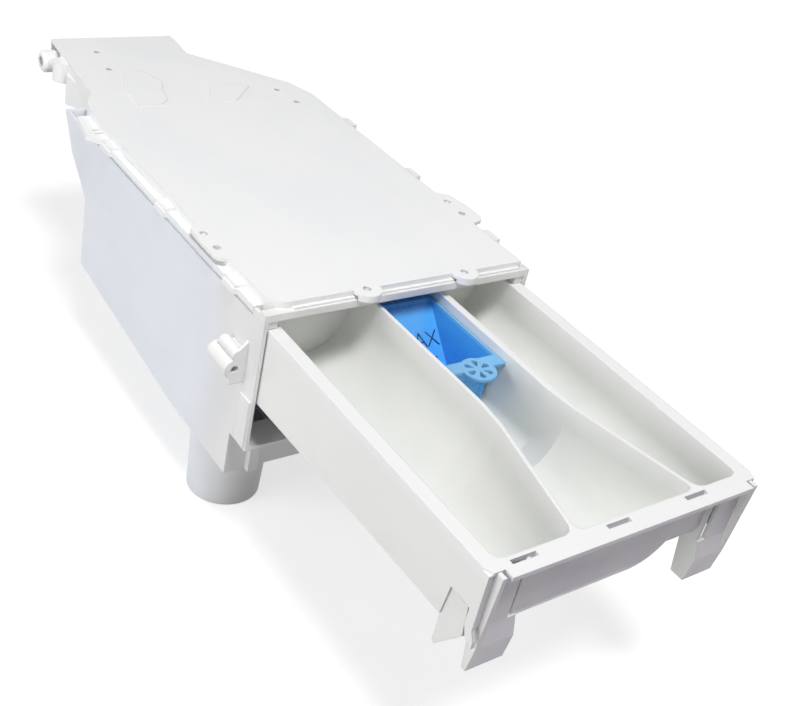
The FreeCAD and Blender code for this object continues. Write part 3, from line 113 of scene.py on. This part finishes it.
class ColourLook(bpy.types.PropertyGroup):
    """Colours of the mouldings."""
    housing: colour_value("Housing", "Cool white of the housing", (0.775, 0.805, 0.86))
    housing_shade: colour_value("Housing clouds", "Darker clouds of the housing", (0.735, 0.765, 0.825))
    # The housing's whiter top band is painted light on its front bar.
    housing_edge_painted_light: colour_value("Housing edge", "White of the housing's top edge", (0.93, 0.93, 0.915))
    housing_mouth: colour_value("Housing mouth", "Warmer white of the front end", (0.78, 0.77, 0.757))
    cover: colour_value("Cover", "White of the top cover", (0.86, 0.86, 0.86))
    cover_shade: colour_value("Cover clouds", "Darker clouds of the cover", (0.825, 0.83, 0.84))
    tray: colour_value("Tray", "White of the hidden tray", (0.86, 0.86, 0.86))
    tray_shade: colour_value("Tray clouds", "Darker clouds of the tray", (0.82, 0.82, 0.82))
    drawer: colour_value("Drawer", "Greenish white of the drawer", (0.815, 0.822, 0.797))
    drawer_shade: colour_value("Drawer clouds", "Darker clouds of the drawer", (0.765, 0.774, 0.747))
    # The drawer's paler rim is painted light on its rim and upper walls.
    drawer_rim_painted_light: colour_value("Drawer rim", "White of the drawer's rim", (0.83, 0.83, 0.828))
    # The drawer's lilac-grey front faces are painted shade.
    drawer_front_painted_shade: colour_value("Drawer front", "Lilac grey of the front faces", (0.48, 0.447, 0.498))
    cup: colour_value("Cup", "Blue of the softener cup", (0.08, 0.43, 0.90))
    cup_shade: colour_value("Cup clouds", "Darker clouds of the cup", (0.066, 0.38, 0.87))
    # The cup's paler rim and tab are painted light.
    cup_rim_painted_light: colour_value("Cup rim", "Paler blue of the cup's rim and tab", (0.17, 0.465, 0.78))
    mark: colour_value("Fill mark", "Dark blue of the fill mark", (0.004, 0.012, 0.06))
    mark_shade: colour_value("Fill mark clouds", "Worn places of the fill mark", (0.01, 0.03, 0.12))


class StageLook(bpy.types.PropertyGroup):
    """Values of the floor, the lamps and the sky."""
    floor_gap: bpy.props.FloatProperty(
        name="Floor gap", description="Distance from the part down to the floor",
        default=0.0006, unit="LENGTH")
    floor_size: bpy.props.FloatProperty(
        name="Floor size", description="Length of the floor's side", default=12.0, unit="LENGTH")
    floor: colour_value("Floor", "Grey white of the floor", (0.50, 0.50, 0.505))
    floor_fleck: colour_value("Floor flecks", "Paler flecks of the floor", (0.53, 0.53, 0.53))
    sky: bpy.props.FloatProperty(
        name="Sky strength", description="Strength of the even light from all round", default=0.20)
    key: bpy.props.FloatProperty(
        name="Key lamp", description="Power of the high lamp in front", default=30.5, unit="POWER")
    side: bpy.props.FloatProperty(
        name="Side lamp", description="Power of the lamp on the left", default=12.6, unit="POWER")
    low: bpy.props.FloatProperty(
        name="Low lamp", description="Power of the low lamp in front", default=1.0, unit="POWER")


def new_group(name, inputs, outputs):
    """A shader node group with the given sockets, and its two end nodes."""
    group = bpy.data.node_groups.new(name, "ShaderNodeTree")
    for label, kind, value in inputs:
        socket = group.interface.new_socket(label, in_out="INPUT", socket_type=kind)
        socket.default_value = value
    for label, kind in outputs:
        group.interface.new_socket(label, in_out="OUTPUT", socket_type=kind)
    return group, group.nodes.new("NodeGroupInput"), group.nodes.new("NodeGroupOutput")


def noise(nodes, links, vector, scale, detail):
    """A noise texture on that vector."""
    node = nodes.new("ShaderNodeTexNoise")
    node.inputs["Detail"].default_value = detail
    links.new(vector, node.inputs["Vector"])
    node.inputs["Scale"].default_value = scale
    return node


def map_range(nodes, links, value, low, high, to_low=0.0, to_high=1.0):
    """The value stretched from one span to another, smoothly and clamped."""
    node = nodes.new("ShaderNodeMapRange")
    node.interpolation_type = "SMOOTHSTEP"
    node.inputs["From Min"].default_value = low
    node.inputs["From Max"].default_value = high
    node.inputs["To Min"].default_value = to_low
    node.inputs["To Max"].default_value = to_high
    links.new(value, node.inputs["Value"])
    return node.outputs["Result"]


def mix_colour(nodes, links, factor, first, second):
    """A mix of two colours, each a socket or a fixed colour."""
    node = nodes.new("ShaderNodeMix")
    node.data_type = "RGBA"
    links.new(factor, node.inputs["Factor"])
    for socket, colour in ((node.inputs[6], first), (node.inputs[7], second)):
        if isinstance(colour, bpy.types.NodeSocket):
            links.new(colour, socket)
        else:
            socket.default_value = colour
    return node.outputs[2]


def math_node(nodes, links, kind, first, second):
    """The sum or product of two sockets, kept between 0 and 1."""
    node = nodes.new("ShaderNodeMath")
    node.operation = kind
    node.use_clamp = True
    links.new(first, node.inputs[0])
    links.new(second, node.inputs[1])
    return node.outputs[0]


def direct_rays(nodes, links):
    """1 for what the camera sees straight, in a reflection or through a clear piece, otherwise 0."""
    path = nodes.new("ShaderNodeLightPath")
    glossy = path.outputs["Is Glossy Ray"]
    through = path.outputs["Is Transmission Ray"]
    mirrored = math_node(nodes, links, "ADD", glossy, through)
    return math_node(nodes, links, "ADD", path.outputs["Is Camera Ray"], mirrored)


def moulded_skin():
    """Group: cloudy colour, slightly uneven gloss, a fine moulded grain and soft edges."""
    look = bpy.context.scene.dispenser_plastic
    group, start, end = new_group(
        "moulded_skin",
        (("Colour", "NodeSocketColor", (0.8, 0.8, 0.8, 1)),
         ("Shade", "NodeSocketColor", (0.7, 0.7, 0.7, 1)),
         ("Gloss", "NodeSocketFloat", 0.4),
         ("Depth", "NodeSocketFloat", 0.05)),
        (("Colour", "NodeSocketColor"),
         ("Roughness", "NodeSocketFloat"),
         ("Normal", "NodeSocketVector")))
    nodes, links = group.nodes, group.links
    place = nodes.new("ShaderNodeTexCoord").outputs["Object"]
    cloud = noise(nodes, links, place, look.cloud_scale, detail=4.0)
    flow = nodes.new("ShaderNodeMapping")
    flow.inputs["Scale"].default_value = STREAK_STRETCH
    links.new(place, flow.inputs["Vector"])
    streak = noise(nodes, links, flow.outputs["Vector"], STREAK_SCALE, detail=2.0)
    clouds = map_range(nodes, links, cloud.outputs[0], 0.35, 0.75)
    streaks = map_range(nodes, links, streak.outputs[0], 0.2, 0.7, 0.6, 1.0)
    blend = math_node(nodes, links, "MULTIPLY", clouds, streaks)
    links.new(mix_colour(nodes, links, blend, start.outputs["Colour"], start.outputs["Shade"]),
              end.inputs["Colour"])
    uneven = map_range(nodes, links, streak.outputs[0], 0.25, 0.75, -0.05, 0.07)
    add = nodes.new("ShaderNodeMath")
    links.new(start.outputs["Gloss"], add.inputs[0])
    links.new(uneven, add.inputs[1])
    links.new(add.outputs[0], end.inputs["Roughness"])
    edge = nodes.new("ShaderNodeBevel")
    edge.samples = 6
    edge.inputs["Radius"].default_value = look.edge_radius
    grain = noise(nodes, links, place, look.grain_scale, detail=2.0)
    bump = nodes.new("ShaderNodeBump")
    bump.inputs["Distance"].default_value = GRAIN_HEIGHT
    links.new(start.outputs["Depth"], bump.inputs["Strength"])
    links.new(grain.outputs[0], bump.inputs["Height"])
    links.new(edge.outputs["Normal"], bump.inputs["Normal"])
    links.new(bump.outputs["Normal"], end.inputs["Normal"])
    return group


def height_mask():
    """Group: 0 below one height of the part and 1 above another."""
    group, start, end = new_group(
        "height_mask",
        (("Low", "NodeSocketFloat", 0.0),
         ("High", "NodeSocketFloat", 0.01)),
        (("Mask", "NodeSocketFloat"),))
    nodes, links = group.nodes, group.links
    split = nodes.new("ShaderNodeSeparateXYZ")
    links.new(nodes.new("ShaderNodeTexCoord").outputs["Object"], split.inputs[0])
    ramp = nodes.new("ShaderNodeMapRange")
    ramp.interpolation_type = "SMOOTHSTEP"
    links.new(split.outputs["Z"], ramp.inputs["Value"])
    links.new(start.outputs["Low"], ramp.inputs["From Min"])
    links.new(start.outputs["High"], ramp.inputs["From Max"])
    links.new(ramp.outputs["Result"], end.inputs["Mask"])
    return group


def front_face_painted_shade():
    """Group: mask of painted shade, 1 on the faces that look to the front within a hand's depth of it,
    uneven, otherwise 0.
    """
    group, start, end = new_group(
        "front_face_painted_shade",
        (("Front", "NodeSocketFloat", 0.0),),
        (("Mask", "NodeSocketFloat"),))
    nodes, links = group.nodes, group.links
    split = nodes.new("ShaderNodeSeparateXYZ")
    links.new(nodes.new("ShaderNodeNewGeometry").outputs["True Normal"], split.inputs[0])
    facing = map_range(nodes, links, split.outputs["Y"], -0.35, -0.85)
    place = nodes.new("ShaderNodeTexCoord").outputs["Object"]
    along = nodes.new("ShaderNodeSeparateXYZ")
    links.new(place, along.inputs[0])
    back = nodes.new("ShaderNodeMath")
    back.operation = "SUBTRACT"
    links.new(along.outputs["Y"], back.inputs[0])
    links.new(start.outputs["Front"], back.inputs[1])
    near = map_range(nodes, links, back.outputs[0], *FRONT_SHADE_REACH)
    cloud = noise(nodes, links, place, FRONT_SHADE_CLOUD_SCALE, detail=2.0)
    uneven = map_range(nodes, links, cloud.outputs[0], 0.3, 0.7, 0.82, 1.0)
    both = math_node(nodes, links, "MULTIPLY", facing, near)
    links.new(math_node(nodes, links, "MULTIPLY", both, uneven), end.inputs["Mask"])
    return group


def shared_group(name, maker):
    """The node group of that name, made on first use."""
    return bpy.data.node_groups.get(name) or maker()


def new_material(name):
    """An empty material with a Principled shader at its end."""
    material = bpy.data.materials.new(name)
    material.use_nodes = True
    tree = material.node_tree
    tree.nodes.clear()
    out = tree.nodes.new("ShaderNodeOutputMaterial")
    shader = tree.nodes.new("ShaderNodeBsdfPrincipled")
    tree.links.new(shader.outputs[0], out.inputs["Surface"])
    return material, tree, shader


def plastic(name, colour, shade, gloss, depth, top=None, top_span=None):
    """A moulded plastic; above a height it may take a second colour, which here is always painted light
    on the tops.
    """
    material, tree, shader = new_material(name)
    nodes, links = tree.nodes, tree.links
    skin = nodes.new("ShaderNodeGroup")
    skin.node_tree = shared_group("moulded_skin", moulded_skin)
    skin.inputs["Colour"].default_value = (*colour, 1)
    skin.inputs["Shade"].default_value = (*shade, 1)
    skin.inputs["Gloss"].default_value = gloss
    skin.inputs["Depth"].default_value = depth
    base = skin.outputs["Colour"]
    if top is not None:
        mask = nodes.new("ShaderNodeGroup")
        mask.node_tree = shared_group("height_mask", height_mask)
        mask.inputs["Low"].default_value = top_span[0]
        mask.inputs["High"].default_value = top_span[1]
        base = mix_colour(nodes, links, mask.outputs["Mask"], base, (*top, 1))
    links.new(base, shader.inputs["Base Color"])
    links.new(skin.outputs["Roughness"], shader.inputs["Roughness"])
    links.new(skin.outputs["Normal"], shader.inputs["Normal"])
    shader.inputs["IOR"].default_value = 1.49
    return material, shader


def dress(node, material):
    """Gives a CAD node that material in all its slots."""
    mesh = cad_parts[node].data
    if not mesh.materials:
        mesh.materials.append(material)
    for index in range(len(mesh.materials)):
        mesh.materials[index] = material


class DISPENSER_OT_housing(bpy.types.Operator):
    """Dresses the housing in a cool white that is warmer at its mouth, with painted light as a whiter
    band along its top
    """
    bl_idname = "dispenser.housing"
    bl_label = "Dress the housing"

    def execute(self, context):
        colours = context.scene.dispenser_colours
        # The whiter colour along the housing's top band is painted light on its front bar.
        material, shader = plastic("housing_plastic", colours.housing, colours.housing_shade,
                                   gloss=0.42, depth=0.05,
                                   top=colours.housing_edge_painted_light, top_span=HOUSING_EDGE_LIGHT_SPAN)
        shader.inputs["Specular IOR Level"].default_value = 0.4
        nodes, links = material.node_tree.nodes, material.node_tree.links
        place = nodes.new("ShaderNodeTexCoord").outputs["Object"]
        split = nodes.new("ShaderNodeSeparateXYZ")
        links.new(place, split.inputs[0])
        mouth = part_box("housing")[0][1]
        far_end, near_end = mouth + MOUTH_REACH[0], mouth + MOUTH_REACH[1]
        near = map_range(nodes, links, split.outputs["Y"], far_end, near_end)
        cloud = noise(nodes, links, place, MOUTH_CLOUD_SCALE, detail=3.0)
        uneven = map_range(nodes, links, cloud.outputs[0], 0.3, 0.7, 0.75, 1.0)
        warm = math_node(nodes, links, "MULTIPLY", near, uneven)
        plain = shader.inputs["Base Color"].links[0].from_socket
        links.new(mix_colour(nodes, links, warm, plain, (*colours.housing_mouth, 1)),
                  shader.inputs["Base Color"])
        dress("housing", material)
        return {"FINISHED"}


class DISPENSER_OT_cover(bpy.types.Operator):
    """Dresses the top cover and the tray beneath it in white polypropylene"""
    bl_idname = "dispenser.cover"
    bl_label = "Dress the cover"

    def execute(self, context):
        colours = context.scene.dispenser_colours
        outer, _ = plastic("cover_plastic", colours.cover, colours.cover_shade, gloss=0.45, depth=0.06)
        dress("top_cover", outer)
        inner, _ = plastic("tray_plastic", colours.tray, colours.tray_shade, gloss=0.5, depth=0.08)
        dress("shower_tray", inner)
        return {"FINISHED"}


class DISPENSER_OT_drawer(bpy.types.Operator):
    """Dresses the drawer in a greenish white, with painted light as a paler rim and painted shade as
    lilac-grey front faces
    """
    bl_idname = "dispenser.drawer"
    bl_label = "Dress the drawer"

    def execute(self, context):
        colours = context.scene.dispenser_colours
        # The paler colour along the drawer's top is painted light on its rim and upper walls.
        material, shader = plastic("drawer_plastic", colours.drawer, colours.drawer_shade,
                                   gloss=0.38, depth=0.04,
                                   top=colours.drawer_rim_painted_light, top_span=DRAWER_RIM_LIGHT_SPAN)
        nodes, links = material.node_tree.nodes, material.node_tree.links
        # Lilac grey mixed onto the faces that look to the front is painted shade.
        front_shade = nodes.new("ShaderNodeGroup")
        front_shade.node_tree = shared_group("front_face_painted_shade", front_face_painted_shade)
        front_shade.inputs["Front"].default_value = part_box("drawer")[0][1]
        plain = shader.inputs["Base Color"].links[0].from_socket
        links.new(mix_colour(nodes, links, front_shade.outputs["Mask"], plain, (*colours.drawer_front_painted_shade, 1)),
                  shader.inputs["Base Color"])
        dress("drawer", material)
        return {"FINISHED"}


class DISPENSER_OT_cup(bpy.types.Operator):
    """Dresses the softener cup in a bright blue, with painted light as a paler blue on its rim and tab
    """
    bl_idname = "dispenser.cup"
    bl_label = "Dress the softener cup"

    def execute(self, context):
        colours = context.scene.dispenser_colours
        # The paler blue along the cup's top is painted light on its rim and tab.
        material, shader = plastic("cup_plastic", colours.cup, colours.cup_shade,
                                   gloss=0.25, depth=0.02,
                                   top=colours.cup_rim_painted_light, top_span=CUP_RIM_LIGHT_SPAN)
        shader.inputs["Coat Weight"].default_value = 0.3
        dress("softener_cup", material)
        return {"FINISHED"}


# The cup's ramp: a point on its upper edge, the way up along it and its outward normal.
RAMP_POINT = Vector((0.0, 0.91, 26.53)) * MM
RAMP_UP = Vector((0.0, 0.7525, 0.6586))
RAMP_OUT = Vector((0.0, -0.6586, 0.7525))
WORD_CENTRE = 11.4
WORD_BASE = -31.5
WORD_HEIGHT = 10.2
TICK_BASE = -38.2
TICK_SPAN = (-1.0, 20.6)

# The fill mark's other sizes in millimetres, the letters' size over their height and their spacing.
RAMP_LIFT = 0.05
WORD_RAISE = 0.12
WORD_ROUND = 0.05
WORD_THIN = -0.28
LETTER_SHARE = 1.38
LETTER_SPACING = 0.86
TICK_WIDTH = 0.7
TICK_RAISE = 0.34
TICK_ROUND = 0.1


def ramp_matrix(x, up):
    """A frame on the ramp: X across, Y up along the ramp, Z out of it."""
    place = RAMP_POINT + RAMP_UP * up * MM + Vector((x * MM, 0, 0)) + RAMP_OUT * RAMP_LIFT * MM
    turn = Matrix((Vector((1, 0, 0)), RAMP_UP, RAMP_OUT)).transposed()
    return Matrix.Translation(place) @ turn.to_4x4()


def mark_material():
    """A dark blue for the raised fill mark, worn a little unevenly."""
    found = bpy.data.materials.get("mark_ink")
    if found:
        return found
    colours = bpy.context.scene.dispenser_colours
    material, _ = plastic("mark_ink", colours.mark, colours.mark_shade, gloss=0.35, depth=0.05)
    return material


class DISPENSER_OT_level_mark(bpy.types.Operator):
    """Puts the plain fill-level word and its line on the cup's ramp"""
    bl_idname = "dispenser.level_mark"
    bl_label = "Add the fill mark"

    def execute(self, context):
        words = bpy.data.curves.new("level_word_text", "FONT")
        words.body = "MAX"
        words.align_x = "CENTER"
        words.size = WORD_HEIGHT * LETTER_SHARE * MM
        words.extrude = WORD_RAISE * MM
        words.bevel_depth = WORD_ROUND * MM
        words.space_character = LETTER_SPACING
        words.offset = WORD_THIN * MM
        source = bpy.data.objects.new("level_word_source", words)
        context.scene.collection.objects.link(source)
        context.view_layer.update()
        shaped = source.evaluated_get(context.evaluated_depsgraph_get())
        mesh = bpy.data.meshes.new_from_object(shaped)
        bpy.data.objects.remove(source)
        bpy.data.curves.remove(words)
        mesh.transform(ramp_matrix(WORD_CENTRE, WORD_BASE))
        add_mark("level_word", mesh)
        add_mark("level_tick", self.tick_mesh())
        return {"FINISHED"}

    def tick_mesh(self):
        shape = bmesh.new()
        bmesh.ops.create_cube(shape, size=1.0)
        width = TICK_SPAN[1] - TICK_SPAN[0]
        bmesh.ops.scale(shape, vec=Vector((width, TICK_WIDTH, TICK_RAISE)) * MM, verts=shape.verts)
        bmesh.ops.bevel(shape, geom=shape.edges[:], offset=TICK_ROUND * MM, segments=2, profile=0.5,
                        affect="EDGES", material=-1)
        middle = (TICK_SPAN[0] + TICK_SPAN[1]) / 2
        bmesh.ops.transform(shape, matrix=ramp_matrix(middle, TICK_BASE), verts=shape.verts)
        mesh = bpy.data.meshes.new("level_tick")
        shape.to_mesh(mesh)
        shape.free()
        return mesh


def add_mark(name, mesh):
    """Links a mark that rides on the drawer."""
    mesh.name = name
    mesh.materials.clear()
    mesh.materials.append(mark_material())
    piece = bpy.data.objects.new(name, mesh)
    bpy.context.scene.collection.objects.link(piece)
    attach(piece, "drawer")
    return piece


class DISPENSER_OT_stage(bpy.types.Operator):
    """Sets the pale floor, the lamps, the sky and the photograph's camera"""
    bl_idname = "dispenser.stage"
    bl_label = "Set the stage"

    def execute(self, context):
        look = context.scene.dispenser_stage
        self.add_floor(context, look)
        self.add_lamp(context, "key_lamp", KEY_PLACE, KEY_AIM, KEY_SIZE, look.key)
        self.add_lamp(context, "side_lamp", SIDE_PLACE, SIDE_AIM, SIDE_SIZE, look.side)
        self.add_lamp(context, "low_lamp", LOW_PLACE, LOW_AIM, LOW_SIZE, look.low)
        self.set_sky(context, look)
        self.add_camera(context)
        context.scene.view_settings.view_transform = "Standard"
        return {"FINISHED"}

    def add_floor(self, context, look):
        shape = bmesh.new()
        bmesh.ops.create_grid(shape, x_segments=8, y_segments=8, size=look.floor_size / 2)
        level = CAD_BOX[0][2] - look.floor_gap
        bmesh.ops.translate(shape, vec=(0, 0, level), verts=shape.verts)
        mesh = bpy.data.meshes.new("floor")
        shape.to_mesh(mesh)
        shape.free()
        floor = bpy.data.objects.new("floor", mesh)
        context.scene.collection.objects.link(floor)
        mesh.materials.append(self.floor_material(look))

    def floor_material(self, look):
        material, tree, shader = new_material("floor_paper")
        nodes, links = tree.nodes, tree.links
        place = nodes.new("ShaderNodeTexCoord").outputs["Object"]
        fleck = noise(nodes, links, place, FLOOR_FLECK_SCALE, detail=3.0)
        links.new(mix_colour(nodes, links, fleck.outputs[0], (*look.floor, 1), (*look.floor_fleck, 1)),
                  shader.inputs["Base Color"])
        shader.inputs["Roughness"].default_value = 0.9
        shader.inputs["Emission Color"].default_value = (1, 1, 1, 1)
        reach = nodes.new("ShaderNodeVectorMath")
        reach.operation = "LENGTH"
        links.new(place, reach.inputs[0])
        glow = map_range(nodes, links, reach.outputs["Value"], *GLOW_RADII, *GLOW_STRENGTH)
        links.new(math_node(nodes, links, "MULTIPLY", direct_rays(nodes, links), glow),
                  shader.inputs["Emission Strength"])
        return material

    def add_lamp(self, context, name, place, aim, size, power):
        data = bpy.data.lights.new(name, "AREA")
        data.shape = "DISK"
        data.size = size
        data.energy = power
        lamp = bpy.data.objects.new(name, data)
        lamp.location = place
        lamp.rotation_euler = (Vector(aim) - Vector(place)).to_track_quat("-Z", "Y").to_euler()
        context.scene.collection.objects.link(lamp)

    def set_sky(self, context, look):
        world = bpy.data.worlds.new("studio_sky")
        context.scene.world = world
        world.use_nodes = True
        nodes, links = world.node_tree.nodes, world.node_tree.links
        nodes.clear()
        out = nodes.new("ShaderNodeOutputWorld")
        seen = nodes.new("ShaderNodeBackground")
        lit = nodes.new("ShaderNodeBackground")
        lit.inputs["Color"].default_value = (0.97, 0.98, 1.0, 1)
        lit.inputs["Strength"].default_value = look.sky
        seen.inputs["Color"].default_value = (1, 1, 1, 1)
        mix = nodes.new("ShaderNodeMixShader")
        links.new(direct_rays(nodes, links), mix.inputs[0])
        links.new(lit.outputs[0], mix.inputs[1])
        links.new(seen.outputs[0], mix.inputs[2])
        links.new(mix.outputs[0], out.inputs["Surface"])

    def add_camera(self, context):
        data = bpy.data.cameras.new("photo_camera")
        data.lens = CAMERA_LENS
        data.sensor_width = 36.0
        data.clip_start = 0.01
        data.clip_end = 50.0
        camera = bpy.data.objects.new("photo_camera", data)
        right, up = Vector(CAMERA_RIGHT).normalized(), Vector(CAMERA_UP).normalized()
        turn = Matrix((right, up, right.cross(up))).transposed()
        camera.matrix_world = Matrix.Translation(CAMERA_PLACE) @ turn.to_4x4()
        context.scene.collection.objects.link(camera)
        context.scene.camera = camera


class DISPENSER_PT_panel(bpy.types.Panel):
    """Sidebar panel with the looks' steps"""
    bl_idname = "DISPENSER_PT_panel"
    bl_label = "Dispenser"
    bl_space_type = "VIEW_3D"
    bl_region_type = "UI"
    bl_category = "Dispenser"

    def draw(self, context):
        for operator in OPERATORS:
            self.layout.operator(operator.bl_idname)


OPERATORS = (DISPENSER_OT_housing, DISPENSER_OT_cover, DISPENSER_OT_drawer, DISPENSER_OT_cup,
             DISPENSER_OT_level_mark, DISPENSER_OT_stage)
CLASSES = (PlasticLook, ColourLook, StageLook, *OPERATORS, DISPENSER_PT_panel)


def register():
    for item in CLASSES:
        bpy.utils.register_class(item)
    bpy.types.Scene.dispenser_plastic = bpy.props.PointerProperty(type=PlasticLook)
    bpy.types.Scene.dispenser_colours = bpy.props.PointerProperty(type=ColourLook)
    bpy.types.Scene.dispenser_stage = bpy.props.PointerProperty(type=StageLook)


def unregister():
    del bpy.types.Scene.dispenser_stage
    del bpy.types.Scene.dispenser_colours
    del bpy.types.Scene.dispenser_plastic
    for item in reversed(CLASSES):
        bpy.utils.unregister_class(item)


def main():
    register()
    bpy.ops.dispenser.housing()
    bpy.ops.dispenser.cover()
    bpy.ops.dispenser.drawer()
    bpy.ops.dispenser.cup()
    bpy.ops.dispenser.level_mark()
    bpy.ops.dispenser.stage()


if __name__ == "__main__":
    main()
